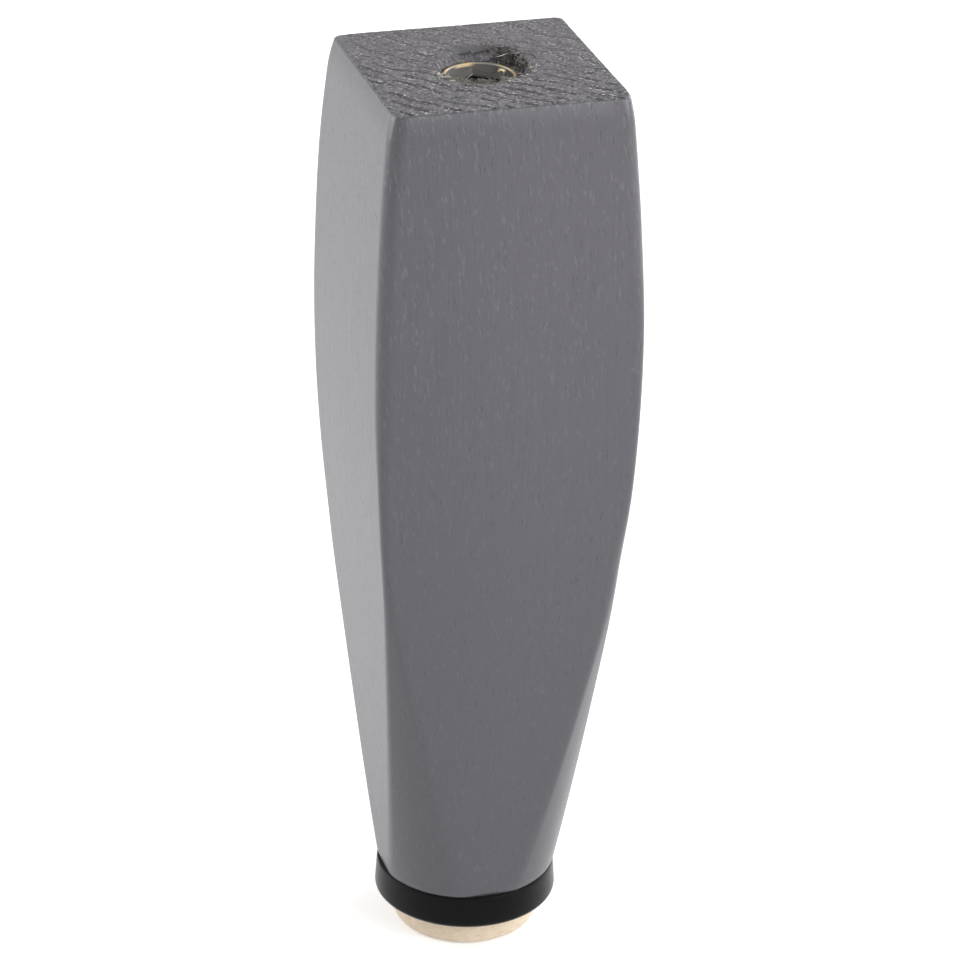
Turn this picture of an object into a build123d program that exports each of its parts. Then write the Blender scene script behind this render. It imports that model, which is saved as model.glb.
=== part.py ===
from build123d import *
import math
import os

# Furniture leg, in millimetres. +Z is up, and the origin is on the floor under the middle of the felt.

# Wooden body
body_height = 130.0
foot_side = 26.6
taper_height = 60.5
taper_side = 37.0
top_side = 35.0
corner_radius = 2.2
top_edge_radius = 0.3
turned_diameter = 27.4
turned_half_angle = 11.7

# Screw-in nut in the top end
insert_length = 18.0
insert_recess = 1.45
insert_core_diameter = 11.0
insert_rim_chamfer = 0.3
wood_thread_diameter = 13.2
wood_thread_pitch = 4.0
wood_thread_root = 1.8
wood_thread_crest = 0.5
insert_plain_band = 0.8
socket_width = 8.0
socket_depth = 5.0
socket_turn = 28.0
socket_mouth_diameter = 10.0
bolt_bore_diameter = 6.8

# Hole for the nut, with the chipped mouth and the torn hollow that the thread left on its way in
insert_hole_depth = 34.0
drill_point_angle = 118.0
mouth_chip_diameter = 12.4
mouth_chip_depth = 0.65
tear_direction = 12.0
tear_offset = 3.3
tear_radius = 5.6
tear_depth = 1.3

# Plastic glide under the foot
glide_height = 5.3
glide_diameter = 28.1
glide_draft = 3.4
glide_lower_radius = 0.9
glide_upper_radius = 0.3

# Nail through the glide
nail_diameter = 2.5
nail_length = 22.0
nail_point = 4.0
nail_head_diameter = 8.0
nail_head_height = 1.4

# Felt disc in the glide's seat
felt_thickness = 5.7
felt_diameter = 22.4
felt_edge_radius = 0.9
felt_seat_depth = 1.0

# Clearances on each side
thread_clearance = 0.05
thread_end_gap = 0.2
nail_clearance = 0.02
felt_clearance = 0.1

# Heights above the floor
felt_top = felt_thickness
glide_bottom = felt_top - felt_seat_depth
glide_top = glide_bottom + glide_height
body_top = glide_top + body_height
nail_head_top = felt_top + nail_head_height
insert_top = body_top - insert_recess
insert_bottom = insert_top - insert_length
ridge_bottom = insert_bottom + insert_plain_band + wood_thread_root / 2
ridge_top = insert_top - insert_plain_band - wood_thread_root / 2

os.makedirs("parts", exist_ok=True)


def side_outline(plane):
    """The body seen square on: a straight taper that runs on into a swelling arc."""
    with BuildSketch(plane) as outline:
        with BuildLine():
            taper = Line((foot_side / 2, glide_top), (taper_side / 2, glide_top + taper_height))
            swell = TangentArc(taper @ 1, (top_side / 2, body_top), tangent=taper % 1)
            Polyline(swell @ 1, (0, body_top), (0, glide_top), taper @ 0)
        make_face()
        mirror(about=Plane.YZ)
    return outline.sketch


def screw_thread(bottom, top, clearance):
    """A helical ridge round the nut, in step with the side where it broke out of the top face."""
    core_radius = insert_core_diameter / 2
    crest_rise = wood_thread_diameter / 2 + clearance - core_radius
    root_half = wood_thread_root / 2 + clearance
    crest_half = wood_thread_crest / 2 + clearance
    sunk = crest_rise / 2
    sunk_half = root_half + (root_half - crest_half) * sunk / crest_rise
    start_angle = tear_direction - 360 * (body_top - bottom) / wood_thread_pitch
    with BuildLine() as spiral:
        Helix(wood_thread_pitch, top - bottom, core_radius, center=(0, 0, bottom))
    path = spiral.line.rotate(Axis.Z, start_angle)
    outward = Vector(1, 0, 0).rotate(Axis.Z, start_angle)
    with BuildSketch(Plane(path @ 0, x_dir=outward, z_dir=path % 0)) as section:
        with BuildLine():
            Polyline(
                (-sunk, -sunk_half),
                (crest_rise, -crest_half),
                (crest_rise, crest_half),
                (-sunk, sunk_half),
                close=True,
            )
        make_face()
    sweep(section.sketch, path=path, is_frenet=True)


def nail_outline(clearance):
    """Half of the nail's shank, with its point, seen from the side."""
    radius = nail_diameter / 2 + clearance
    tip = nail_head_top + nail_length + clearance
    with BuildSketch(Plane.XZ) as outline:
        with BuildLine():
            Polyline(
                (0, nail_head_top),
                (radius, nail_head_top),
                (radius, tip - nail_point),
                (0, tip),
                close=True,
            )
        make_face()
    return outline.sketch


# Hole for the nut: drilled, with the path that the nut's thread has cut in through the top face
with BuildPart() as insert_hole:
    hole_radius = insert_core_diameter / 2 + thread_clearance
    hole_floor = body_top - insert_hole_depth
    drill_point = hole_radius / math.tan(math.radians(drill_point_angle / 2))
    above_body = body_top + 2 * wood_thread_pitch
    with BuildSketch(Plane.XZ):
        with BuildLine():
            Polyline(
                (0, above_body),
                (hole_radius, above_body),
                (hole_radius, hole_floor),
                (0, hole_floor - drill_point),
                close=True,
            )
        make_face()
    revolve(axis=Axis.Z)
    screw_thread(ridge_bottom - thread_end_gap, body_top + wood_thread_pitch, thread_clearance)

# Body: two crossed outlines, rounded long corners, then the foot turned to a cone
with BuildPart() as leg_body:
    extrude(side_outline(Plane.XZ), amount=body_height, both=True)
    extrude(side_outline(Plane.YZ), amount=body_height, both=True, mode=Mode.INTERSECT)
    long_corners = leg_body.edges().filter_by(lambda edge: abs((edge % 0.5).Z) > 0.5)
    fillet(long_corners, corner_radius)
    turned_growth = body_height * math.tan(math.radians(turned_half_angle))
    with Locations((0, 0, glide_top)):
        Cone(
            turned_diameter / 2,
            turned_diameter / 2 + turned_growth,
            body_height,
            align=(Align.CENTER, Align.CENTER, Align.MIN),
            mode=Mode.INTERSECT,
        )
    fillet(leg_body.faces().sort_by(Axis.Z)[-1].edges(), top_edge_radius)

    # Shallow hollow torn out of the top face on one side of the hole
    tear_ball = (tear_radius**2 + tear_depth**2) / (2 * tear_depth)
    tear_x = tear_offset * math.cos(math.radians(tear_direction))
    tear_y = tear_offset * math.sin(math.radians(tear_direction))
    with Locations((tear_x, tear_y, body_top - tear_depth + tear_ball)):
        Sphere(tear_ball, mode=Mode.SUBTRACT)

    # Hole for the nut, chipped all round its mouth
    with Locations((0, 0, body_top - mouth_chip_depth)):
        Cone(
            hole_radius,
            mouth_chip_diameter / 2,
            mouth_chip_depth,
            align=(Align.CENTER, Align.CENTER, Align.MIN),
            mode=Mode.SUBTRACT,
        )
    add(insert_hole.part, mode=Mode.SUBTRACT)

    # Hole that the nail has made
    revolve(nail_outline(nail_clearance), axis=Axis.Z, mode=Mode.SUBTRACT)

leg_body.part.label = "leg_body"
export_step(leg_body.part, "parts/leg_body.step")

# Nut: coarse thread outside, hexagon socket above a threaded bore
with BuildPart() as threaded_insert:
    core_radius = insert_core_diameter / 2
    with BuildSketch(Plane.XZ):
        with BuildLine():
            Polyline(
                (0, insert_bottom),
                (core_radius, insert_bottom),
                (core_radius, insert_top - insert_rim_chamfer),
                (core_radius - insert_rim_chamfer, insert_top),
                (0, insert_top),
                close=True,
            )
        make_face()
    revolve(axis=Axis.Z)
    screw_thread(ridge_bottom, ridge_top, 0)
    with BuildSketch(Plane.XY.offset(insert_top)):
        RegularPolygon(socket_width / 2, 6, major_radius=False, rotation=socket_turn)
    extrude(amount=-socket_depth, mode=Mode.SUBTRACT)
    mouth_depth = (socket_mouth_diameter - socket_width) / 2
    with Locations((0, 0, insert_top - mouth_depth)):
        Cone(
            socket_width / 2,
            socket_mouth_diameter / 2,
            mouth_depth,
            align=(Align.CENTER, Align.CENTER, Align.MIN),
            mode=Mode.SUBTRACT,
        )
    with BuildSketch(Plane.XY.offset(insert_top)):
        Circle(bolt_bore_diameter / 2)
    extrude(amount=-insert_length, mode=Mode.SUBTRACT)

threaded_insert.part.label = "threaded_insert"
export_step(threaded_insert.part, "parts/threaded_insert.step")

# Glide: a moulded disc with a seat for the felt and a pocket for the nail's head
with BuildPart() as glide_base:
    glide_upper = glide_diameter / 2 - glide_height * math.tan(math.radians(glide_draft))
    with Locations((0, 0, glide_bottom)):
        Cone(
            glide_diameter / 2,
            glide_upper,
            glide_height,
            align=(Align.CENTER, Align.CENTER, Align.MIN),
        )
    fillet(glide_base.faces().sort_by(Axis.Z)[0].edges(), glide_lower_radius)
    fillet(glide_base.faces().sort_by(Axis.Z)[-1].edges(), glide_upper_radius)
    with BuildSketch(Plane.XY.offset(glide_bottom)):
        Circle(felt_diameter / 2 + felt_clearance)
    extrude(amount=felt_seat_depth, mode=Mode.SUBTRACT)
    with BuildSketch(Plane.XY.offset(felt_top)):
        Circle(nail_head_diameter / 2 + nail_clearance)
    extrude(amount=nail_head_height, mode=Mode.SUBTRACT)
    revolve(nail_outline(nail_clearance), axis=Axis.Z, mode=Mode.SUBTRACT)

glide_base.part.label = "glide_base"
export_step(glide_base.part, "parts/glide_base.step")

# Nail: a flat head, flush with the felt's seat, and a pointed shank
with BuildPart() as glide_nail:
    with BuildSketch(Plane.XY.offset(felt_top)):
        Circle(nail_head_diameter / 2)
    extrude(amount=nail_head_height)
    revolve(nail_outline(0), axis=Axis.Z)

glide_nail.part.label = "glide_nail"
export_step(glide_nail.part, "parts/glide_nail.step")

# Felt: a thick disc with a worn lower edge
with BuildPart() as felt_pad:
    with BuildSketch(Plane.XY):
        Circle(felt_diameter / 2)
    extrude(amount=felt_thickness)
    fillet(felt_pad.faces().sort_by(Axis.Z)[0].edges(), felt_edge_radius)

felt_pad.part.label = "felt_pad"
export_step(felt_pad.part, "parts/felt_pad.step")
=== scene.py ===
import math
import random
from collections import namedtuple

import bpy
import numpy as np
from mathutils import Matrix, Vector, noise


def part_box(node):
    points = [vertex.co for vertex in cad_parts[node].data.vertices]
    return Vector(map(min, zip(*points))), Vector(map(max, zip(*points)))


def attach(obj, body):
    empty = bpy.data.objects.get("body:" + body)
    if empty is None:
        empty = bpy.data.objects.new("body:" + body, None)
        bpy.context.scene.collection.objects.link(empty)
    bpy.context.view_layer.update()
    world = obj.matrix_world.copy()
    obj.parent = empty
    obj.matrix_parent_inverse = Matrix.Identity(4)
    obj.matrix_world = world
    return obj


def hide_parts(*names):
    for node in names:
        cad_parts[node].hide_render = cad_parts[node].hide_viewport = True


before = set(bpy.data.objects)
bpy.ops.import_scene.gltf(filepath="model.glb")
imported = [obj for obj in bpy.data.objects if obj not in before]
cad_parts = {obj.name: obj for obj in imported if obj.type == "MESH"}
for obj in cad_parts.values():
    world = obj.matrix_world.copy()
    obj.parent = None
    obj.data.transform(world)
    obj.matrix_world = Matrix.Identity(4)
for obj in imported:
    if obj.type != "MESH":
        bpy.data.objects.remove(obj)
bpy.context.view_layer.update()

# Shapes are worked out in millimetres and written to meshes in metres.
MM = 0.001


def node_box(node):
    """Lowest and highest corner of a CAD node, in millimetres."""
    low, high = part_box(node)
    return np.array(low) / MM, np.array(high) / MM


body_low, body_high = node_box("leg_body")
insert_low, insert_high = node_box("threaded_insert")
glide_low, glide_high = node_box("glide_base")
nail_high = node_box("glide_nail")[1]
felt_high = node_box("felt_pad")[1]

# Heights of the stacked pieces
body_bottom = body_low[2]
body_top = body_high[2]
body_height = body_top - body_bottom
insert_top = insert_high[2]
insert_bottom = insert_low[2]
nail_tip = nail_high[2]
glide_bottom = glide_low[2]
felt_top = felt_high[2]

# Wooden body: straight taper, then a swelling arc, with the foot turned to a cone
foot_half = 13.3
taper_height = 60.5
taper_half = 18.5
top_half = 17.5
corner_radius = 2.2
top_edge_radius = 0.2
top_edge_chip = 0.06
roll_depth = 0.55
roll_height = 4.5
turned_radius = 13.70
turned_slope = math.tan(math.radians(11.7))
crease_blend = 0.5
foot_break = 0.18
foot_break_height = 0.5

# Depth of the sawn end below the top of the CAD body, which leaves room for torn fibres inside its box
fibre_room = 0.16

# Stretches on which the long corners are crisper, as rises above the foot over which they start or end
corner_crispness = 1.0
back_crisp_from = (98.0, 118.0)
right_crisp_from = (55.0, 70.0)
right_soft_from = (94.0, 110.0)
right_soft_to = (118.0, 131.0)
right_softness = 0.75
left_crisp_to = (74.0, 86.0)

# Hole for the nut, with the path of the nut's thread
hole_radius = 5.55
hole_depth = 34.0
drill_point = 3.2
groove_reach = 6.65
groove_root = 1.9
groove_crest = 0.6
wood_thread_pitch = 4.0
thread_start = math.radians(12.0)
ridge_margin = 1.5
# Painted shade: how far the hole's wall takes the near-black torn colour, darker down the hole
wall_shade = 0.9

# Mouth of the hole: chipped all round, and further on the near side.
# Spans and bearings here are in degrees about the axis from +X.
chip_reach = 6.25
chip_depth = 0.65
near_span = (-150.0, -64.0)
near_chip = 0.85

# Steep chip on the far side, with a dark crack along its edge and a worn slope behind that
far_span = (57.0, 212.0)
far_reach = 6.05
far_drift = 0.026
far_depth = 1.2
crack_span = (62.0, 105.0)
crack_width = 0.20
crack_depth = 0.12
worn_span = (62.0, 101.0)
worn_reach = 9.0
worn_depth = 0.45

# Fibrous hollow torn out between them
hollow_span = (-62.0, 57.0)
hollow_reach = 6.9
hollow_depth = 1.2
hollow_bulge = 2.2
hollow_bulge_bearing = 50.0
hollow_bulge_width = 30.0
bristle_height = 0.7

# Nail hole under the foot
nail_radius = 1.27
nail_point = 4.0

# Nut
core_radius = 5.5
ridge_reach = 6.6
ridge_root = 1.8
ridge_crest = 0.5
plain_band = 1.7
socket_half = 4.0
socket_turn = math.radians(28.0)
socket_depth = 5.0
socket_mouth = 5.0
bolt_bore = 3.4
bolt_thread_depth = 0.55
bolt_thread_pitch = 1.25
bolt_ridge_root = 1.1
bolt_ridge_crest = 0.16

# Glide and felt
glide_draft = 0.28
glide_lower_radius = 0.9
glide_upper_radius = 0.3
nail_head_height = 1.4
felt_edge = 1.0
felt_underside = 0.05
hair_count = 2400

# Growth rings on the top end: rows of open pores run across it at a slant
ring_turn = math.radians(43.0)
ring_spacing = 2.4

# Light: strengths in watts, places in metres
lamps = {
    "front_lamp": ((0.77, -0.92, 0.60), 11.0),
    "right_lamp": ((1.13, 0.41, 0.40), 9.0),
    "left_lamp": ((-1.12, 0.55, 0.48), 9.2),
}
lamp_size = 0.9
lamp_target = (0.0, 0.0, 0.07)
world_light = 0.71
floor_reach = 3.0
floor_albedo = 0.86
floor_glow = 0.35

# Camera, fitted to the outlines in the photograph
camera_azimuth = math.radians(-16.50)
camera_elevation = math.radians(25.94)
camera_roll = math.radians(1.13)
camera_distance = 595.3
camera_lens = 150.0
camera_sensor = 36.0
aim_right = 1.21
aim_up = -0.37


def ramp(value, low, high):
    """0 below low, 1 above high, and a smooth step between."""
    t = np.clip((value - low) / (high - low), 0.0, 1.0)
    return t * t * (3.0 - 2.0 * t)


def fall(value, low, high):
    """1 below low, 0 above high, and a smooth step between."""
    return ramp(-value, -high, -low)


def window(bearing, span, soft):
    """1 between two bearings in degrees, fading over soft degrees to each side."""
    start, end = span
    return ramp(bearing, start - soft, start + soft) * fall(bearing, end - soft, end + soft)


def soft_min(a, b, blend):
    """The smaller of two values, rounded where they cross."""
    near = np.maximum(blend - np.abs(a - b), 0.0) / blend
    return np.minimum(a, b) - near**2 * blend / 4.0


def perlin(x, y, z=0.0):
    """Smooth noise between about -1 and 1 at each of many points."""
    x, y, z = np.broadcast_arrays(x, y, z)
    flat = [noise.noise(Vector(p)) for p in zip(x.ravel(), y.ravel(), z.ravel())]
    return np.array(flat).reshape(x.shape)


def mesh_object(name, vertices, faces, sharp_angle=None):
    """A smooth-shaded mesh from millimetre points, with edges sharper than sharp_angle left crisp."""
    mesh = bpy.data.meshes.new(name)
    mesh.from_pydata(np.asarray(vertices) * MM, [], faces)
    mesh.polygons.foreach_set("use_smooth", np.ones(len(mesh.polygons), dtype=bool))
    if sharp_angle is not None:
        mesh.set_sharp_from_angle(angle=math.radians(sharp_angle))
    mesh.update()
    piece = bpy.data.objects.new(name, mesh)
    bpy.context.collection.objects.link(piece)
    return piece


def mark_points(piece, name, values):
    """A value at each point of a mesh, for its material."""
    layer = piece.data.attributes.new(name, "FLOAT", "POINT")
    layer.data.foreach_set("value", np.asarray(values, dtype=np.float32))


def skin_rows(rows, first_pole=None, last_pole=None, looped=False):
    """Vertices and faces of a skin over rows of points, all with as many points round the axis."""
    count = len(rows[0])
    vertices = [tuple(p) for row in rows for p in row]
    faces = []
    pairs = len(rows) if looped else len(rows) - 1
    for i in range(pairs):
        a = i * count
        b = ((i + 1) % len(rows)) * count
        for j in range(count):
            k = (j + 1) % count
            faces.append((a + j, a + k, b + k, b + j))
    if first_pole is not None:
        pole = len(vertices)
        vertices.append(first_pole)
        faces += [(pole, (j + 1) % count, j) for j in range(count)]
    if last_pole is not None:
        pole = len(vertices)
        last = (len(rows) - 1) * count
        vertices.append(last_pole)
        faces += [(last + j, last + (j + 1) % count, pole) for j in range(count)]
    return vertices, faces


def ring_row(angles, reach, height):
    """One row of points round the axis."""
    reach, height = np.broadcast_arrays(reach + 0.0 * angles, height + 0.0 * angles)[:2]
    return np.stack([reach * np.cos(angles), reach * np.sin(angles), height], axis=-1)


def full_turn(count):
    """Angles of a row of points round the axis."""
    return np.linspace(0.0, 2.0 * math.pi, count, endpoint=False)


def helix_ridge(angles, height, pitch, root, crest, turn, level):
    """How far up a ridge's flank each point lies, from 0 between the turns to 1 on the crest."""
    turns = (height - level) / pitch - (angles - turn) / (2.0 * math.pi)
    off = np.abs(turns - np.round(turns)) * pitch
    return np.clip((root / 2.0 - off) / (root / 2.0 - crest / 2.0), 0.0, 1.0)


# Materials


def add_node(tree, kind, inputs=None, **settings):
    """A shader node with its settings, and its inputs set to values or linked to sockets."""
    node = tree.nodes.new(kind)
    for key, value in settings.items():
        setattr(node, key, value)
    for key, value in (inputs or {}).items():
        if isinstance(value, bpy.types.NodeSocket):
            tree.links.new(value, node.inputs[key])
        else:
            node.inputs[key].default_value = value
    return node


def new_material(name, **values):
    """A material with a Principled shader, and the shader's plain values."""
    material = bpy.data.materials.new(name)
    material.use_nodes = True
    tree = material.node_tree
    shader = tree.nodes["Principled BSDF"]
    for key, value in values.items():
        shader.inputs[key.replace("_", " ")].default_value = value
    return material, tree, shader


def millimetres(tree):
    """The object's own coordinates in millimetres."""
    coordinates = add_node(tree, "ShaderNodeTexCoord").outputs["Object"]
    scaled = add_node(tree, "ShaderNodeVectorMath", {0: coordinates, "Scale": 1.0 / MM}, operation="SCALE")
    return scaled.outputs[0]


def stretched_noise(tree, per_mm, detail=2.0, roughness=0.5, lean=0.0):
    """Noise on the object's own coordinates, with per_mm cells to the millimetre on each axis."""
    tilted = add_node(
        tree,
        "ShaderNodeVectorRotate",
        {"Vector": millimetres(tree), "Rotation": (lean, lean, 0.0)},
        rotation_type="EULER_XYZ",
    ).outputs[0]
    scaled = add_node(tree, "ShaderNodeVectorMath", {0: tilted, 1: per_mm}, operation="MULTIPLY").outputs[0]
    return add_node(
        tree,
        "ShaderNodeTexNoise",
        {"Vector": scaled, "Scale": 1.0, "Detail": detail, "Roughness": roughness},
    ).outputs["Fac"]


def step(tree, value, low, high, out_low=0.0, out_high=1.0):
    """A smooth step of a socket's value from low to high."""
    return add_node(
        tree,
        "ShaderNodeMapRange",
        {"Value": value, "From Min": low, "From Max": high, "To Min": out_low, "To Max": out_high},
        interpolation_type="SMOOTHSTEP",
    ).outputs["Result"]


def blend(tree, factor, a, b):
    """Colour a where factor is 0 and colour b where it is 1."""
    return add_node(
        tree,
        "ShaderNodeMix",
        {"Factor": factor, 6: a, 7: b},
        data_type="RGBA",
    ).outputs[2]


def attribute(tree, name):
    """A value marked at the points of the mesh."""
    return add_node(tree, "ShaderNodeAttribute", attribute_name=name).outputs["Fac"]


def math_node(tree, operation, a, b):
    return add_node(tree, "ShaderNodeMath", {0: a, 1: b}, operation=operation).outputs[0]


def times(tree, a, b):
    return math_node(tree, "MULTIPLY", a, b)


def mix_values(tree, factor, a, b):
    """Value a where factor is 0 and value b where it is 1."""
    return add_node(tree, "ShaderNodeMix", {0: factor, 2: a, 3: b}).outputs[0]


def distance_along(tree, direction):
    """How far a point lies along a direction from the object's own origin, in millimetres."""
    inputs = {0: millimetres(tree), 1: direction}
    return add_node(tree, "ShaderNodeVectorMath", inputs, operation="DOT_PRODUCT").outputs["Value"]


def bump(tree, shader, height, depth_mm, strength=1.0):
    """Fine relief under the shader."""
    normal = add_node(
        tree,
        "ShaderNodeBump",
        {"Height": height, "Distance": depth_mm * MM, "Strength": strength},
    ).outputs["Normal"]
    tree.links.new(normal, shader.inputs["Normal"])


def rgb(r, g, b):
    return (r, g, b, 1.0)


# Stain on the sides, and the painted shade on them
streak_dark = rgb(0.062, 0.059, 0.071)
streak_pale = rgb(0.095, 0.090, 0.107)
mottle_tone = rgb(0.079, 0.075, 0.087)
# Painted shade: the sides darken to the next two colours towards the foot and towards -X
foot_shade_tone = rgb(0.046, 0.048, 0.057)
left_shade_tone = rgb(0.036, 0.035, 0.042)
pore_tone = rgb(0.030, 0.028, 0.032)
fleck_tone = rgb(0.138, 0.133, 0.146)
torn_edge_tone = rgb(0.220, 0.211, 0.220)

# Stain on the sawn end
end_dark = rgb(0.075, 0.071, 0.078)
end_pale = rgb(0.181, 0.173, 0.188)
grain_tone = rgb(0.640, 0.615, 0.615)
pit_tone = rgb(0.018, 0.015, 0.017)
worn_tone = rgb(0.085, 0.081, 0.090)
# Torn wood, near black: partly dark stained fibres and partly painted shade in the torn hollow, along the
# crack and down the hole's wall
torn_shade_dark = rgb(0.011, 0.009, 0.008)
torn_shade_pale = rgb(0.060, 0.054, 0.050)

# Nut
gold_warm = rgb(0.60, 0.44, 0.24)
gold_green = rgb(0.44, 0.39, 0.25)
gold_stain = rgb(0.30, 0.22, 0.12)
# Painted shade: the socket fades to the next colour deep down, and the mouth's cone leans to it
socket_shade_tone = rgb(0.020, 0.019, 0.018)
dull_pale = rgb(0.420, 0.410, 0.400)

white = rgb(1.0, 1.0, 1.0)


def pore_rows(tree, spacing, row_half, dash_low, dash_high):
    """Broken, wavy rows of pores across the end grain, a set distance apart."""
    cos, sin = math.cos(ring_turn), math.sin(ring_turn)
    across = distance_along(tree, (cos, sin, 0.0))
    along = distance_along(tree, (-sin, cos, 0.0))
    bend = times(tree, stretched_noise(tree, (0.09, 0.09, 0.0), detail=1.0), 6.0)
    wave = times(tree, stretched_noise(tree, (0.7, 0.7, 0.0), detail=3.0), 1.5)
    moved = math_node(tree, "ADD", math_node(tree, "ADD", across, bend), wave)
    rows = math_node(tree, "DIVIDE", moved, spacing)
    row = math_node(tree, "FLOOR", rows, 0.0)
    within = math_node(tree, "SUBTRACT", math_node(tree, "SUBTRACT", rows, row), 0.5)
    off = times(tree, math_node(tree, "ABSOLUTE", within, 0.0), spacing)
    line = step(tree, off, row_half, 0.3 * row_half)
    spot = {0: times(tree, along, 0.30), 1: times(tree, row, 7.31)}
    spot = add_node(tree, "ShaderNodeCombineXYZ", spot).outputs[0]
    dash = add_node(tree, "ShaderNodeTexNoise", {"Vector": spot, "Scale": 1.0, "Detail": 5.0}).outputs["Fac"]
    return times(tree, line, step(tree, dash, dash_low, dash_high))


def side_stain(tree, streaks, pores):
    """Colour of the sides: grey, with painted shade darkening it towards the foot and towards -X, and with
    pale flecks and a torn top edge.
    """
    mottle = stretched_noise(tree, (0.07, 0.07, 0.03), detail=2.0)
    flecks = step(tree, stretched_noise(tree, (2.3, 2.3, 0.5), detail=2.0, lean=0.12), 0.58, 0.70)
    ragged = step(tree, stretched_noise(tree, (2.2, 2.2, 0.5), detail=3.0), 0.54, 0.64)
    place = add_node(tree, "ShaderNodeSeparateXYZ", {0: millimetres(tree)}).outputs
    height = place["Z"]
    near_top = step(tree, height, body_top - 80.0, body_top - 5.0, 0.16, 0.46)
    at_edge = step(tree, height, body_top - 1.3, body_top - 0.1, 0.0, 0.50)
    # Painted shade: darker towards the foot and towards -X
    foot_shade = step(tree, height, body_top - 15.0, body_bottom, 0.0, 0.58)
    left_shade = step(tree, place["X"], -18.0, 6.0, 0.26, 0.0)
    colour = blend(tree, streaks, streak_dark, streak_pale)
    colour = blend(tree, step(tree, mottle, 0.35, 0.65, 0.0, 0.5), colour, mottle_tone)
    colour = blend(tree, foot_shade, colour, foot_shade_tone)
    colour = blend(tree, left_shade, colour, left_shade_tone)
    colour = blend(tree, times(tree, pores, 0.36), colour, pore_tone)
    colour = blend(tree, times(tree, flecks, near_top), colour, fleck_tone)
    return blend(tree, times(tree, ragged, at_edge), colour, torn_edge_tone)


def end_stain(tree, speckle, pits):
    """Colour of the sawn end: speckled grey, dark pores, pale grains beside them, and the torn mouth and the
    hole's wall, whose near black is partly painted shade.
    """
    fine = step(tree, stretched_noise(tree, (2.4, 2.4, 2.4), detail=3.0), 0.54, 0.62)
    beside = pore_rows(tree, ring_spacing, 1.1, 0.42, 0.55)
    grains = times(tree, fine, step(tree, beside, 0.0, 1.0, 0.08, 0.75))
    grains = times(tree, grains, near_half(tree))
    colour = blend(tree, step(tree, speckle, 0.35, 0.65), end_dark, end_pale)
    colour = blend(tree, grains, colour, grain_tone)
    colour = blend(tree, pits, colour, pit_tone)
    colour = blend(tree, attribute(tree, "worn"), colour, worn_tone)
    torn = blend(tree, step(tree, speckle, 0.40, 0.70), torn_shade_dark, torn_shade_pale)
    return blend(tree, attribute(tree, "torn"), colour, torn)


def near_half(tree):
    """Strength of the end grain: it stands out most on the half towards -X and -Y."""
    return step(tree, distance_along(tree, (-0.28, -0.96, 0.0)), -10.0, 8.0, 0.50, 1.0)


def stained_wood():
    """Grey stain on open-pored wood: fine upright grain on the sides, rough end grain on top."""
    material, tree, shader = new_material("stained_wood", IOR=1.56)
    streaks = stretched_noise(tree, (2.6, 2.6, 0.07), detail=3.0)
    pores = step(tree, stretched_noise(tree, (3.2, 3.2, 0.6), detail=1.0), 0.64, 0.76)
    speckle = stretched_noise(tree, (2.4, 2.4, 2.4), detail=4.0, roughness=0.65)
    vessels = step(tree, stretched_noise(tree, (2.2, 2.2, 2.2), detail=2.0), 0.60, 0.68)
    small_rows = times(tree, pore_rows(tree, 0.43 * ring_spacing, 0.24, 0.50, 0.56), 0.6)
    pits = math_node(tree, "MAXIMUM", pore_rows(tree, ring_spacing, 0.56, 0.40, 0.47), small_rows)
    grit = stretched_noise(tree, (3.0, 3.0, 3.0), detail=2.0)
    pits = times(tree, pits, step(tree, grit, 0.40, 0.54, 0.40, 1.0))
    pits = math_node(tree, "MAXIMUM", pits, times(tree, vessels, 0.6))
    pits = times(tree, pits, near_half(tree))

    on_end = attribute(tree, "end")
    colour = blend(tree, on_end, side_stain(tree, streaks, pores), end_stain(tree, speckle, pits))
    tree.links.new(colour, shader.inputs["Base Color"])
    side_gloss = step(tree, streaks, 0.2, 0.8, 0.29, 0.33)
    tree.links.new(mix_values(tree, on_end, side_gloss, 0.80), shader.inputs["Roughness"])
    side_relief = math_node(tree, "SUBTRACT", times(tree, streaks, 0.3), pores)
    end_relief = math_node(tree, "SUBTRACT", times(tree, speckle, 2.0), times(tree, pits, 6.0))
    bump(tree, shader, mix_values(tree, on_end, side_relief, end_relief), 0.035)
    return material


def yellow_zinc():
    """Yellow-passivated zinc: gold on the lip and outside, with gold patches in the mouth that stand partly
    for painted highlights, and dull grey in the mouth and the socket, darkened by painted shade and painted
    dark reflection.
    """
    material, tree, shader = new_material("yellow_zinc", Metallic=1.0)
    clouds = stretched_noise(tree, (0.5, 0.5, 0.5), detail=4.0)
    fine = stretched_noise(tree, (7.0, 7.0, 7.0), detail=2.0)
    gold = blend(tree, step(tree, clouds, 0.40, 0.62), gold_warm, gold_green)
    gold = blend(tree, step(tree, fine, 0.62, 0.78), gold, gold_stain)
    # Painted shade and painted dark reflection: the dull grey darkens on the mouth's cone and deep in the
    # socket
    dull = blend(tree, attribute(tree, "mouth"), socket_shade_tone, dull_pale)
    bright = attribute(tree, "bright")
    tree.links.new(blend(tree, bright, dull, gold), shader.inputs["Base Color"])
    polished = step(tree, fine, 0.3, 0.7, 0.34, 0.48)
    tree.links.new(mix_values(tree, bright, 0.60, polished), shader.inputs["Roughness"])
    bump(tree, shader, fine, 0.01)
    return material


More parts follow.
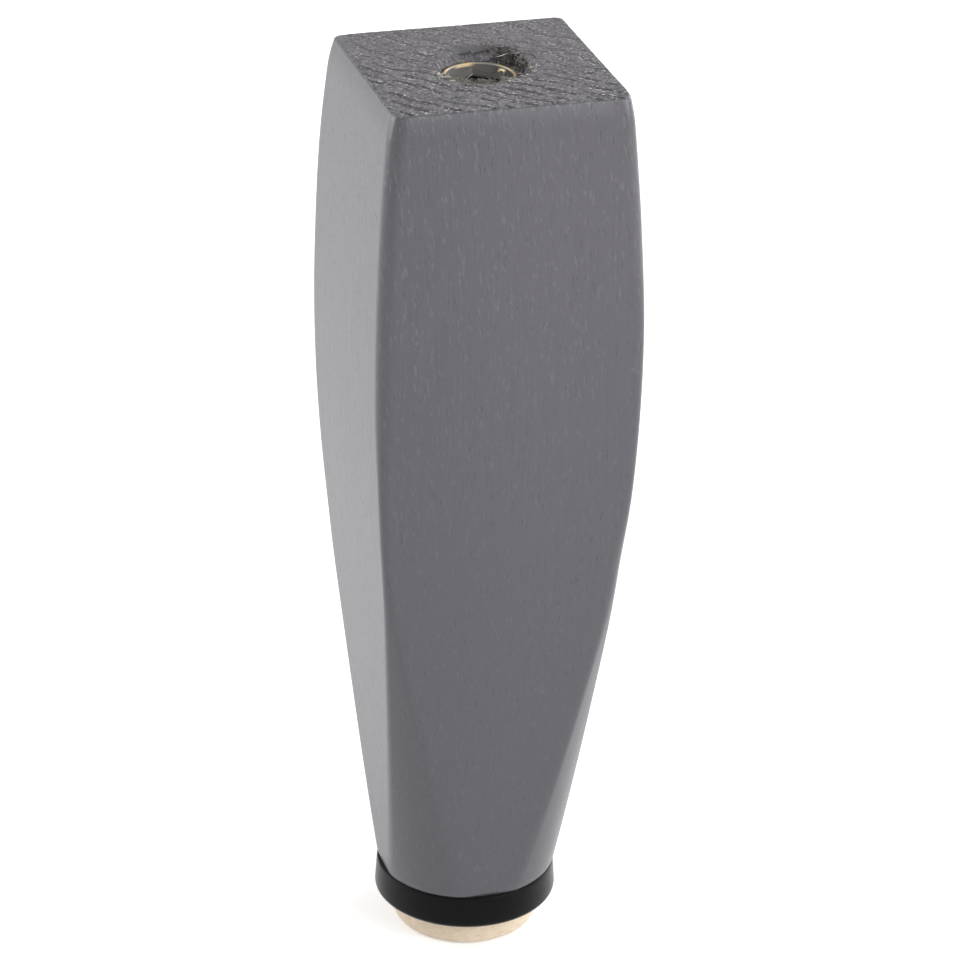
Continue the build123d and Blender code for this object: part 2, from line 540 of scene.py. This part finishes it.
def black_plastic():
    """Satin moulded plastic with a fine skin."""
    material, tree, shader = new_material(
        "black_plastic", Specular_IOR_Level=0.06, Sheen_Weight=0.205, Sheen_Roughness=0.42
    )
    skin = stretched_noise(tree, (9.0, 9.0, 9.0), detail=2.0)
    cloud = stretched_noise(tree, (0.12, 0.12, 0.3), detail=3.0)
    colour = blend(tree, cloud, rgb(0.002, 0.002, 0.0021), rgb(0.004, 0.004, 0.0042))
    tree.links.new(colour, shader.inputs["Base Color"])
    tree.links.new(step(tree, cloud, 0.3, 0.7, 0.26, 0.34), shader.inputs["Roughness"])
    bump(tree, shader, skin, 0.006)
    return material


def nail_steel():
    """Bright drawn steel with light scratches along the shank."""
    material, tree, shader = new_material("nail_steel", Metallic=1.0)
    drawn = stretched_noise(tree, (9.0, 9.0, 0.2), detail=2.0)
    colour = blend(tree, drawn, rgb(0.46, 0.46, 0.47), rgb(0.64, 0.64, 0.65))
    tree.links.new(colour, shader.inputs["Base Color"])
    tree.links.new(step(tree, drawn, 0.3, 0.7, 0.25, 0.42), shader.inputs["Roughness"])
    return material


def beige_felt(name, light):
    """Pressed wool felt, and its loose hairs, in warm beige."""
    material, tree, shader = new_material(name, Roughness=0.95, Sheen_Weight=0.35)
    matted = stretched_noise(tree, (1.3, 1.3, 2.2), detail=5.0, roughness=0.65)
    hairs = stretched_noise(tree, (5.0, 5.0, 9.0), detail=3.0)
    dark = rgb(0.71 * light, 0.58 * light, 0.43 * light)
    pale = rgb(0.77 * light, 0.65 * light, 0.50 * light)
    hair_tone = rgb(0.80 * light, 0.72 * light, 0.60 * light)
    colour = blend(tree, step(tree, matted, 0.32, 0.66), dark, pale)
    colour = blend(tree, step(tree, hairs, 0.60, 0.75), colour, hair_tone)
    tree.links.new(colour, shader.inputs["Base Color"])
    bump(tree, shader, math_node(tree, "ADD", matted, hairs), 0.07)
    return material


def wood_fibre(name, dark, pale):
    """Torn wood fibre."""
    material, tree, shader = new_material(name, Roughness=0.8)
    along = stretched_noise(tree, (0.7, 0.7, 0.7), detail=2.0)
    tree.links.new(blend(tree, step(tree, along, 0.35, 0.65), dark, pale), shader.inputs["Base Color"])
    return material


# Wooden body

columns_per_side = 96
square_steps = np.arange(columns_per_side) / columns_per_side * 2.0 - 1.0
body_angles = np.concatenate([math.pi / 2.0 * side + np.arctan(square_steps) for side in range(4)])


def half_width(rise):
    """Half the body's width between opposite flats, at a rise above the foot."""
    slope = (taper_half - foot_half) / taper_height
    inward = np.array([slope, -1.0]) / math.hypot(slope, 1.0)
    chord = np.array([body_height - taper_height, top_half - taper_half])
    radius = chord @ chord / (2.0 * chord @ inward)
    centre = np.array([taper_height, taper_half]) + radius * inward
    arc = centre[1] + np.sqrt(radius**2 - np.maximum(rise - centre[0], taper_height - centre[0]) ** 2)
    return np.where(rise < taper_height, foot_half + slope * rise, arc)


def corner_rounding(angles, rise):
    """Radius of the long corners: crisper at +Y near the top, at +X -Y on the swell and at -X -Y below it."""
    along_x, along_y = np.cos(angles) / math.sqrt(2.0), np.sin(angles) / math.sqrt(2.0)

    def at_corner(closeness):
        return ramp(closeness, 0.92, 0.97)

    back = at_corner(np.abs(along_x) + along_y) * ramp(rise, *back_crisp_from)
    softer = right_softness * ramp(rise, *right_soft_from) * fall(rise, *right_soft_to)
    right = at_corner(along_x - along_y) * ramp(rise, *right_crisp_from) * (1.0 - softer)
    left = at_corner(-along_x - along_y) * fall(rise, *left_crisp_to)
    return corner_radius - corner_crispness * (back + right + left)


def square_reach(angles, half, radius):
    """Distance from the axis to the side of a square with rounded corners."""
    fold = np.abs((angles + math.pi / 4.0) % (math.pi / 2.0) - math.pi / 4.0)
    flat = half / np.cos(fold)
    inner = half - radius
    sideways = inner * (np.cos(fold) - np.sin(fold))
    rounded = inner * (np.cos(fold) + np.sin(fold)) + np.sqrt(np.maximum(radius**2 - sideways**2, 0.0))
    return np.where(half * np.tan(fold) > inner, rounded, flat)


def rolled(angles, rise):
    """Share of the reach that sanding took off the faces at -X and -Y, just below the top."""
    facing = np.maximum(-np.cos(angles), -np.sin(angles))
    near_top = np.clip((rise - body_height + roll_height) / roll_height, 0.0, 1.0)
    return roll_depth / top_half * near_top**2 * ramp(facing, 0.60, 0.78)


def body_reach(angles, rise):
    """Distance from the axis to the body's side: the square, turned down to the cone at the foot."""
    cone = turned_radius + turned_slope * rise
    square = square_reach(angles, half_width(rise), corner_rounding(angles, rise))
    square = square * (1.0 - rolled(angles, rise))
    return soft_min(square, cone, crease_blend)


def side_wave(rise):
    """Slight unevenness left by sanding, always inwards."""
    return 0.025 * perlin(0.35 * np.cos(body_angles), 0.35 * np.sin(body_angles), 0.05 * rise) - 0.03


def groove_wall(angles, height):
    """Distance from the axis to the hole's wall, with the groove that the nut's thread has cut."""
    groove = helix_ridge(angles, height, wood_thread_pitch, groove_root, groove_crest, thread_start, body_top)
    cut = groove * (height > insert_bottom + ridge_margin)
    return hole_radius + cut * (groove_reach - hole_radius)


def hole_mouth(x, y):
    """Drop of the top face about the hole in millimetres, and how torn and how smoothly worn it is there."""
    reach = np.hypot(x, y)
    bearing = np.degrees(np.arctan2(y, x))
    positive_bearing = bearing % 360.0
    ragged = 0.45 * perlin(0.9 * x, 0.9 * y, 4.0) + 0.30 * perlin(2.3 * x, 2.3 * y, 9.0)

    def share(edge):
        """0 from an edge outwards, rising to 1 at the hole's wall."""
        return np.clip((edge - reach) / (edge - hole_radius), 0.0, 1.0)

    near = near_chip * window(bearing, near_span, 12.0)
    chipped = share(np.maximum(chip_reach + near + ragged, hole_radius + 0.12))
    far_edge = far_reach + far_drift * np.maximum(crack_span[1] - positive_bearing, 0.0) + 0.6 * ragged
    far_chip = share(np.maximum(far_edge, hole_radius + 0.15)) * window(positive_bearing, far_span, 6.0)
    bulge = hollow_bulge * np.exp(-(((bearing - hollow_bulge_bearing) / hollow_bulge_width) ** 2))
    hollow = share(hollow_reach + bulge + 1.3 * ragged)
    in_hollow = window(bearing, hollow_span, 6.0)
    slope = np.clip((worn_reach + 0.4 * ragged - reach) / (worn_reach - far_edge), 0.0, 1.0)
    slope = slope * window(bearing, worn_span, 7.0)
    worn = ramp(slope, 0.02, 0.20) * ramp(reach - far_edge, -0.1, 0.2)
    crack = np.exp(-(((reach - far_edge) / crack_width) ** 2)) * window(bearing, crack_span, 4.0)
    far_drop = worn_depth * slope + (far_depth - worn_depth * slope) * far_chip**0.8
    drop = np.maximum(chip_depth * chipped, far_drop)
    drop = np.maximum(drop, hollow_depth * hollow**0.55 * in_hollow)
    drop = drop + crack_depth * crack
    torn = np.maximum(in_hollow * ramp(hollow, 0.02, 0.25), crack)
    return drop, torn, worn * (1.0 - torn)


def end_grain(x, y):
    """Relief of the sawn end in millimetres, and how torn and how worn each point is."""
    drop, torn, worn = hole_mouth(x, y)
    rough = 0.035 * perlin(1.1 * x, 1.1 * y, 1.0) + 0.030 * perlin(2.9 * x, 2.9 * y, 2.0)
    bristle = np.abs(perlin(1.6 * x, 1.6 * y, 12.0)) + 0.6 * np.abs(perlin(3.7 * x, 3.7 * y, 15.0))
    relief = np.minimum(rough * (1.0 - worn) - drop + bristle_height * bristle * torn - fibre_room, 0.0)
    return relief, torn, worn


class WoodSkin:
    """Rows of points over the wooden body, with marks at each point for its stain and its painted shade."""

    def __init__(self):
        self.rows = []
        self.marks = {"end": [], "torn": [], "worn": []}

    def add(self, reach, height, **values):
        self.rows.append(ring_row(body_angles, reach, height))
        for key, store in self.marks.items():
            store.append(values.get(key, 0.0) + 0.0 * body_angles)


def add_foot(skin):
    """Nail hole and the underside of the foot."""
    skin.add(nail_radius, nail_tip - nail_point, end=1.0)
    skin.add(nail_radius, body_bottom, end=1.0)
    skin.add(0.5 * body_reach(body_angles, 0.0), body_bottom, end=1.0)


def add_sides(skin):
    """The sides, up to the rounding of the top edge."""
    roll_start = body_height - roll_height
    rises = np.concatenate([
        [0.0, 0.12, 0.5],
        np.linspace(1.5, taper_height, 50),
        np.linspace(taper_height, roll_start, 43)[1:],
        np.linspace(roll_start, body_height - 1.2, 6)[1:],
        [body_height - 0.8, body_height - 0.5, body_height - fibre_room - top_edge_radius],
    ])
    for rise in rises:
        inset = foot_break * max(0.0, 1.0 - rise / foot_break_height) ** 2
        skin.add(body_reach(body_angles, rise) + side_wave(rise) - inset, body_bottom + rise)


def add_top_edge(skin, edge_reach, chips):
    """The small rounding between the sides and the sawn end, with its chips."""
    for turn in np.radians([20.0, 45.0, 70.0]):
        inset = top_edge_radius * (1.0 - math.cos(turn))
        drop = top_edge_radius * (1.0 - math.sin(turn))
        share = math.sin(turn)
        level = body_top - fibre_room - drop - 0.5 * chips * share
        skin.add(edge_reach - inset - chips * share, level, end=share**2)


def add_sawn_end(skin, top_reach, chips):
    """The sawn end, from its edge in to the rim of the hole."""
    rim_x = hole_radius * np.cos(body_angles)
    rim_y = hole_radius * np.sin(body_angles)
    rim_reach = groove_wall(body_angles, body_top + end_grain(rim_x, rim_y)[0])
    for share in np.linspace(0.0, 1.0, 76) ** 0.8:
        reach = top_reach + (rim_reach - top_reach) * share
        relief, torn, worn = end_grain(reach * np.cos(body_angles), reach * np.sin(body_angles))
        edge_drop = 0.5 * chips * fall(share, 0.0, 0.06)
        skin.add(reach, body_top + relief - edge_drop, end=1.0, torn=torn, worn=worn)


def add_hole(skin):
    """The hole's wall from its rim down to the drilled floor."""
    rim_height = skin.rows[-1][:, 2]
    wall_level = body_top - 3.0
    # The wall darkens to the torn colour going down: painted shade in the hole
    for share in np.linspace(0.0, 1.0, 9)[1:]:
        height = rim_height + (wall_level - rim_height) * share
        skin.add(groove_wall(body_angles, height), height, end=1.0, torn=wall_shade * share)
    for height in np.arange(wall_level, insert_bottom, -0.6)[1:]:
        skin.add(groove_wall(body_angles, height), height, end=1.0, torn=wall_shade)
    skin.add(hole_radius, body_top - hole_depth, end=1.0, torn=wall_shade)


def leg_wood():
    """The whole wooden body as one closed skin, from the nail hole round to the bottom of the nut's hole."""
    skin = WoodSkin()
    edge_reach = body_reach(body_angles, body_height) + side_wave(body_height)
    chips = top_edge_chip * ramp(perlin(40.0 * body_angles, 0.5, 0.5), 0.10, 0.50)
    add_foot(skin)
    add_sides(skin)
    add_top_edge(skin, edge_reach, chips)
    add_sawn_end(skin, edge_reach - top_edge_radius - chips, chips)
    add_hole(skin)

    drill_tip = (0.0, 0.0, body_top - hole_depth - drill_point)
    vertices, faces = skin_rows(skin.rows, first_pole=(0.0, 0.0, nail_tip), last_pole=drill_tip)
    piece = mesh_object("leg_wood", vertices, faces, sharp_angle=55.0)
    pole_marks = {"end": 1.0, "torn": wall_shade, "worn": 0.0}
    for key, store in skin.marks.items():
        mark_points(piece, key, np.concatenate([*store, [pole_marks[key]] * 2]))
    piece.data.materials.append(stained_wood())
    return piece


# Nut in the top end


def socket_reach(angles):
    """Distance from the axis to the hexagon socket's flats, with a small round in each corner."""
    fold = (angles - socket_turn) % (math.pi / 3.0) - math.pi / 6.0
    return soft_min(socket_half / np.cos(fold), socket_half * 1.14, 0.10)


def gold_share(angles, drop):
    """How much gold shows inside the nut at a drop below its top: the lip, and two patches in its mouth that
    stand partly for painted highlights where the lamps catch the metal.
    """
    bearing = np.degrees(angles) % 360.0
    lip = fall(drop, 0.10, 0.22)
    # Painted highlight, in part: gold at the back of the mouth and on a patch at bearings 22 to 36 degrees
    back = window(bearing, (88.0, 118.0), 8.0) * fall(drop, 0.30, 0.45)
    gold_highlight_patch = window(bearing, (22.0, 36.0), 4.0) * ramp(drop, 0.25, 0.35) * fall(drop, 0.75, 0.90)
    return np.clip(lip * lip_gold(angles) + back + gold_highlight_patch, 0.0, 1.0)


def lip_gold(angles):
    """How much gold shows on the lip: most at the back, where it stands partly for a painted highlight, and
    less on a stretch beside it.
    """
    bearing = np.degrees(angles) % 360.0
    back = window(bearing, (88.0, 112.0), 6.0)
    lip_dull_stretch = window(bearing, (46.0, 84.0), 6.0)
    return 0.62 + 0.38 * back - 0.42 * lip_dull_stretch


def mouth_painted_shade(angles, drop, past_cone):
    """How pale the dull metal is. This is painted shade and painted dark reflection: the cone of the mouth is
    darker than the flats, and darkest at +X where it keeps down a lamp's reflection, and deeper than 1.6 mm
    the socket fades to near black.
    """
    right = window((np.degrees(angles) + 180.0) % 360.0, (150.0, 225.0), 12.0)
    cone = 0.20 - 0.12 * right
    on_flat = ramp(past_cone, -0.03, 0.20)
    return (cone + (1.0 - cone) * on_flat) * fall(drop, 1.6, 1.95)


def nut_outside(angles):
    """Rows of the nut's outside with its coarse thread, from its foot up to the lip."""
    rows = []
    for height in np.linspace(insert_bottom, insert_top - 0.45, 62):
        ridge = helix_ridge(
            angles, height, wood_thread_pitch, ridge_root, ridge_crest, thread_start, body_top
        )
        fade = ramp(height, insert_bottom + 0.5, insert_bottom + plain_band)
        fade *= fall(height, insert_top - plain_band, insert_top - 0.5)
        rows.append(ring_row(angles, core_radius + ridge * fade * (ridge_reach - core_radius), height))
    return rows


def nut_bore(angles):
    """Rows of the bolt's bore with its thread, from the socket's floor down to the nut's foot."""
    floor = insert_top - socket_depth
    rows = [ring_row(angles, bolt_bore + 0.25, floor), ring_row(angles, bolt_bore, floor - 0.3)]
    for height in np.arange(floor - 0.5, insert_bottom + 0.5, -0.125):
        ridge = helix_ridge(
            angles, height, bolt_thread_pitch, bolt_ridge_root, bolt_ridge_crest, 0.0, insert_bottom
        )
        fade = fall(height, floor - 1.2, floor - 0.5)
        rows.append(ring_row(angles, bolt_bore + bolt_thread_depth * (1.0 - ridge) * fade, height))
    rows.append(ring_row(angles, bolt_bore + bolt_thread_depth, insert_bottom))
    return rows


def insert_nut():
    """Screw-in nut: coarse thread outside, rounded lip, hexagon socket and M8 thread inside."""
    angles = full_turn(240)
    plain = 0.0 * angles
    rows = nut_outside(angles)
    bright = [1.0 + plain] * len(rows)
    lip = [(core_radius - 0.02, 0.30), (core_radius - 0.08, 0.15), (core_radius - 0.18, 0.05)]
    lip += [(core_radius - 0.28, 0.0), (socket_mouth + 0.02, 0.03), (socket_mouth - 0.06, 0.12)]
    for reach, drop in lip:
        rows.append(ring_row(angles, reach, insert_top - drop))
        bright.append(lip_gold(angles))
    mouth = [0.5 + plain] * len(rows)
    flats = socket_reach(angles)
    for drop in (*np.arange(0.2, 1.3, 0.08), 1.6, 1.95, 2.4, 3.0, socket_depth - 0.25):
        cone = socket_mouth - drop + 0.06
        rows.append(ring_row(angles, np.maximum(flats, cone), insert_top - drop))
        bright.append(gold_share(angles, drop))
        # Painted shade and painted dark reflection in the mouth and the socket
        mouth.append(mouth_painted_shade(angles, drop, flats - cone))
    rows.append(ring_row(angles, flats - 0.06, insert_top - socket_depth))
    rows += nut_bore(angles)
    bright += [plain] * (len(rows) - len(bright))
    mouth += [plain] * (len(rows) - len(mouth))
    vertices, faces = skin_rows(rows, looped=True)
    piece = mesh_object("insert_nut", vertices, faces, sharp_angle=35.0)
    mark_points(piece, "bright", np.concatenate(bright))
    mark_points(piece, "mouth", np.concatenate(mouth))
    piece.data.materials.append(yellow_zinc())
    return piece


# Glide and felt


def glide_ring():
    """Moulded disc with rounded edges, a seat for the felt and a pocket for the nail's head."""
    angles = full_turn(256)
    outer = glide_high[0]
    upper = outer - glide_draft
    top = glide_high[2]
    seat = felt_high[0] + 0.1
    head = nail_high[0] + 0.02
    head_top = felt_top + nail_head_height
    profile = [(nail_radius, top), (0.5 * upper, top)]
    for turn in np.radians(np.linspace(90.0, 0.0, 6)):
        inset = glide_upper_radius * (1.0 - math.cos(turn))
        profile.append((upper - inset, top - glide_upper_radius * (1.0 - math.sin(turn))))
    side_drop = glide_bottom + glide_lower_radius - top + glide_upper_radius
    for share in (0.3, 0.6):
        level = top - glide_upper_radius + side_drop * share
        profile.append((upper + (outer - upper) * share, level))
    for turn in np.radians(np.linspace(0.0, 90.0, 9)):
        inset = glide_lower_radius * (1.0 - math.cos(turn))
        profile.append((outer - inset, glide_bottom + glide_lower_radius * (1.0 - math.sin(turn))))
    profile += [(seat + 0.1, glide_bottom), (seat, glide_bottom + 0.1)]
    profile += [(seat, felt_top), (head, felt_top), (head, head_top), (nail_radius, head_top)]
    profile.reverse()
    rows = [ring_row(angles, reach, height) for reach, height in profile]
    vertices, faces = skin_rows(rows, looped=True)
    piece = mesh_object("glide_ring", vertices, faces, sharp_angle=40.0)
    piece.data.materials.append(black_plastic())
    return piece


def felt_side(angles, share):
    """Uneven matting of the felt's side."""
    coarse = perlin(2.2 * np.cos(angles), 2.2 * np.sin(angles), 1.5 * share)
    fine = perlin(9.0 * np.cos(angles), 9.0 * np.sin(angles), 5.0 * share)
    return 0.14 * coarse + 0.07 * fine


def felt_disc():
    """Thick felt disc, soft at its lower edge, matted and a little uneven."""
    angles = full_turn(288)
    radius = felt_high[0] - 0.16
    rows = []
    for reach in np.linspace(1.0, radius - felt_edge, 12):
        x, y = reach * np.cos(angles), reach * np.sin(angles)
        rows.append(ring_row(angles, reach, felt_underside + 0.05 * perlin(0.8 * x, 0.8 * y, 5.0)))
    for turn in np.radians(np.linspace(15.0, 90.0, 6)):
        uneven = felt_side(angles, 0.0) * math.sin(turn)
        reach = radius - felt_edge + felt_edge * math.sin(turn) + uneven
        rows.append(ring_row(angles, reach, felt_underside + felt_edge * (1.0 - math.cos(turn))))
    for height in np.linspace(felt_edge + 0.3, glide_bottom - 0.05, 14):
        rows.append(ring_row(angles, radius + felt_side(angles, height / felt_top), height))
    rows.append(ring_row(angles, radius, felt_top - 0.1))
    rows.append(ring_row(angles, radius - 0.1, felt_top))
    vertices, faces = skin_rows(rows, first_pole=(0.0, 0.0, 0.02), last_pole=(0.0, 0.0, felt_top))
    piece = mesh_object("felt_disc", vertices, faces)
    piece.data.materials.append(beige_felt("beige_felt", 1.0))
    return piece


# Loose fibres


def add_strand(vertices, faces, points, thickness):
    """A thin three-sided strand through the points, tapering to its end."""
    sides = 3
    start = len(vertices)
    count = len(points)
    for i, point in enumerate(points):
        ahead = points[min(i + 1, count - 1)] - points[max(i - 1, 0)]
        frame_turn = ahead.to_track_quat("Z", "Y")
        size = thickness * (1.0 - 0.6 * i / (count - 1))
        for k in range(sides):
            turn = 2.0 * math.pi * k / sides
            spoke = frame_turn @ Vector((size * math.cos(turn), size * math.sin(turn), 0.0))
            vertices.append(tuple(point + spoke))
    for i in range(count - 1):
        for k in range(sides):
            a = start + i * sides + k
            b = start + i * sides + (k + 1) % sides
            faces.append((a, b, b + sides, a + sides))
    last = start + (count - 1) * sides
    faces.append(tuple(start + k for k in reversed(range(sides))))
    faces.append(tuple(last + k for k in range(sides)))


def wandering(draw, root, heading, length, steps, stray):
    """Points of a fibre that sets out along heading and strays as it goes."""
    points = [Vector(root)]
    way = Vector(heading).normalized()
    for _ in range(steps):
        way += Vector([draw.gauss(0.0, stray) for _ in range(3)])
        way.normalize()
        points.append(points[-1] + way * (length / steps))
    return points


def felt_hairs():
    """Loose hairs that stand off the felt's side and lower edge."""
    draw = random.Random(11)
    vertices, faces = [], []
    radius = felt_high[0] - 0.25
    limit = felt_high[0] - 0.02
    for _ in range(hair_count):
        angle = draw.uniform(0.0, 2.0 * math.pi)
        height = draw.uniform(0.35, glide_bottom - 0.2)
        tuck = max(0.0, 1.0 - height) ** 2
        root = ((radius - tuck) * math.cos(angle), (radius - tuck) * math.sin(angle), height)
        lean = draw.uniform(-1.6, 1.6)
        heading = (
            math.cos(angle) - lean * math.sin(angle),
            math.sin(angle) + lean * math.cos(angle),
            draw.uniform(-0.5, 0.4),
        )
        points = wandering(draw, root, heading, draw.uniform(0.3, 0.9), 3, 0.45)
        for point in points:
            spread = math.hypot(point.x, point.y)
            if spread > limit:
                point.x *= limit / spread
                point.y *= limit / spread
            point.z = max(point.z, felt_underside)
        add_strand(vertices, faces, points, draw.uniform(0.010, 0.020))
    piece = mesh_object("felt_hairs", vertices, faces)
    piece.data.materials.append(beige_felt("beige_felt_hair", 1.04))
    return piece


# Torn wood fibres rooted in the top face about one bearing of the hole. They spread from it by some degrees,
# start within a span of reaches from the axis, rise at a slope within lift, and lie at aim to the bearing.
Tuft = namedtuple("Tuft", "bearing spread reach count lengths size lift aim")


def add_tuft(draw, vertices, faces, tuft):
    """The strands of one tuft, kept below the top of the wood."""
    for _ in range(tuft.count):
        angle = math.radians(draw.gauss(tuft.bearing, tuft.spread))
        reach = draw.uniform(*tuft.reach)
        x, y = reach * math.cos(angle), reach * math.sin(angle)
        relief = float(end_grain(np.array(x), np.array(y))[0])
        root = (x, y, body_top + relief - 0.03)
        turn = angle + draw.gauss(tuft.aim, 0.9) * draw.choice((-1.0, 1.0))
        heading = (math.cos(turn), math.sin(turn), draw.uniform(*tuft.lift))
        thickness = tuft.size * draw.uniform(0.5, 1.0)
        points = wandering(draw, root, heading, draw.uniform(*tuft.lengths), 6, 0.30)
        for point in points:
            point.z = min(point.z, body_top - thickness - 0.01)
        add_strand(vertices, faces, points, thickness)


def torn_fibres(name, seed, tufts, dark, pale, long_strands=()):
    """One piece of torn fibres: its tufts, and then single long strands from a root along a heading."""
    draw = random.Random(seed)
    vertices, faces = [], []
    for tuft in tufts:
        add_tuft(draw, vertices, faces, tuft)
    for root, heading, length in long_strands:
        points = wandering(draw, root, heading, length, 8, 0.04)
        for point in points:
            point.z = min(point.z, body_top - 0.1)
        add_strand(vertices, faces, points, 0.060)
    piece = mesh_object(name, vertices, faces)
    piece.data.materials.append(wood_fibre(name + "_wood", dark, pale))
    return piece


def pale_fibres():
    """Raw curls at the left of the hole, a few loose ones round it, and three long strands."""
    spots = [
        (-152.0, 8.0, (5.6, 7.2), 90, 0.12),
        (-160.0, 9.0, (6.2, 8.4), 16, 0.05),
        (-138.0, 9.0, (6.3, 8.4), 14, 0.05),
        (-72.0, 7.0, (6.0, 7.8), 16, 0.05),
        (-22.0, 10.0, (6.6, 8.2), 34, 0.06),
        (140.0, 12.0, (5.6, 6.2), 9, 0.05),
    ]
    tufts = []
    for bearing, spread, reach, count, size in spots:
        tufts.append(Tuft(bearing, spread, reach, count, (0.3, 1.4), size, (0.0, 0.6), 0.3 * math.pi))
    long_strands = [
        ((-3.9, -4.9, body_top - 0.5), (0.75, 0.85, 0.10), 3.4),
        ((5.5, 4.5, body_top - 0.25), (-0.80, -0.62, -0.12), 2.5),
        ((6.8, 4.3, body_top - 0.25), (-0.58, -0.82, -0.10), 2.3),
    ]
    dark, pale = rgb(0.28, 0.26, 0.22), rgb(0.84, 0.81, 0.74)
    return torn_fibres("pale_fibres", 5, tufts, dark, pale, long_strands)


def grey_fibres():
    """Stained fuzz on the near rim, much of it bent in across the hole, and beside the torn hollow."""
    tufts = [
        Tuft(-108.0, 24.0, (5.9, 7.0), 260, (0.6, 1.8), 0.075, (0.1, 0.6), math.pi),
        Tuft(-108.0, 28.0, (6.2, 7.6), 200, (0.3, 1.2), 0.06, (0.0, 0.6), 0.6 * math.pi),
        Tuft(14.0, 9.0, (6.9, 8.4), 30, (0.5, 1.6), 0.07, (0.0, 0.4), 0.5 * math.pi),
    ]
    return torn_fibres("grey_fibres", 21, tufts, rgb(0.10, 0.094, 0.082), rgb(0.26, 0.245, 0.21))


def dark_fibres():
    """Stained fibres that fill the torn hollow and fray the far rim."""
    tufts = [
        Tuft(42.0, 13.0, (6.0, 9.0), 110, (0.7, 2.4), 0.10, (0.0, 0.9), 0.5 * math.pi),
        Tuft(4.0, 18.0, (5.7, 7.0), 90, (0.6, 2.0), 0.09, (0.0, 0.9), 0.5 * math.pi),
        Tuft(84.0, 14.0, (6.0, 7.2), 34, (0.4, 1.4), 0.05, (0.0, 0.4), 0.5 * math.pi),
    ]
    return torn_fibres("dark_fibres", 8, tufts, rgb(0.02, 0.018, 0.017), rgb(0.20, 0.185, 0.17))


# Assembly

leg = leg_wood()
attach(leg, "root")
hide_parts("leg_body")

nut = insert_nut()
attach(nut, "root")
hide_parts("threaded_insert")

glide = glide_ring()
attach(glide, "root")
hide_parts("glide_base")

felt = felt_disc()
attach(felt, "root")
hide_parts("felt_pad")

hairs = felt_hairs()
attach(hairs, "root")

for fibres in (pale_fibres(), grey_fibres(), dark_fibres()):
    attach(fibres, "root")

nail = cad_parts["glide_nail"]
nail.data.materials.clear()
nail.data.materials.append(nail_steel())

# Stage, light and camera


def seen_directly(tree):
    """1 for what the camera sees, also in a reflection or through glass, and 0 for light on the object."""
    path = add_node(tree, "ShaderNodeLightPath").outputs
    seen = math_node(tree, "MAXIMUM", path["Is Camera Ray"], path["Is Glossy Ray"])
    return math_node(tree, "MAXIMUM", seen, path["Is Transmission Ray"])


def pale_floor():
    """Pale floor that takes the leg's shadow."""
    far = floor_reach
    mesh = bpy.data.meshes.new("floor")
    corners = [(-far, -far, 0.0), (far, -far, 0.0), (far, far, 0.0), (-far, far, 0.0)]
    mesh.from_pydata(corners, [], [(0, 1, 2, 3)])
    floor = bpy.data.objects.new("floor", mesh)
    bpy.context.collection.objects.link(floor)
    material, tree, shader = new_material("pale_floor", Roughness=0.9, Specular_IOR_Level=0.0)
    shader.inputs["Base Color"].default_value = rgb(floor_albedo, floor_albedo, floor_albedo)
    shader.inputs["Emission Color"].default_value = white
    tree.links.new(times(tree, seen_directly(tree), floor_glow), shader.inputs["Emission Strength"])
    mesh.materials.append(material)


def white_surround():
    """World that looks white and lights the leg at a plain level."""
    world = bpy.data.worlds.new("surround")
    world.use_nodes = True
    bpy.context.scene.world = world
    tree = world.node_tree
    background = tree.nodes["Background"]
    background.inputs["Color"].default_value = white
    tree.links.new(mix_values(tree, seen_directly(tree), world_light, 1.0), background.inputs["Strength"])


def area_lamp(name, place, power):
    """A soft square lamp that faces the leg."""
    lamp = bpy.data.lights.new(name, "AREA")
    lamp.shape = "SQUARE"
    lamp.size = lamp_size
    lamp.energy = power
    holder = bpy.data.objects.new(name, lamp)
    holder.location = place
    holder.rotation_euler = (Vector(lamp_target) - Vector(place)).to_track_quat("-Z", "Y").to_euler()
    bpy.context.collection.objects.link(holder)


def photo_camera():
    """Camera at the photograph's angle."""
    middle = Vector((0.0, 0.0, (body_bottom + body_top) / 2.0)) * MM
    back = Vector((
        math.sin(camera_azimuth) * math.cos(camera_elevation),
        -math.cos(camera_azimuth) * math.cos(camera_elevation),
        math.sin(camera_elevation),
    ))
    place = middle + back * camera_distance * MM
    right = Vector((0.0, 0.0, 1.0)).cross(back).normalized()
    up = back.cross(right)
    aim = middle + right * aim_right * MM + up * aim_up * MM
    view = (place - aim).normalized()
    level_right = Vector((0.0, 0.0, 1.0)).cross(view).normalized()
    level_up = view.cross(level_right)
    tilted_right = level_right * math.cos(camera_roll) + level_up * math.sin(camera_roll)
    tilted_up = view.cross(tilted_right)
    turn = Matrix((tilted_right, tilted_up, view)).transposed()
    data = bpy.data.cameras.new("photo_camera")
    data.lens = camera_lens
    data.sensor_width = camera_sensor
    data.clip_start = 0.01
    camera = bpy.data.objects.new("photo_camera", data)
    camera.matrix_world = Matrix.Translation(place) @ turn.to_4x4()
    bpy.context.collection.objects.link(camera)
    bpy.context.scene.camera = camera


pale_floor()
white_surround()
for lamp_name, (lamp_place, lamp_power) in lamps.items():
    area_lamp(lamp_name, lamp_place, lamp_power)
photo_camera()
bpy.context.scene.view_settings.view_transform = "Standard"
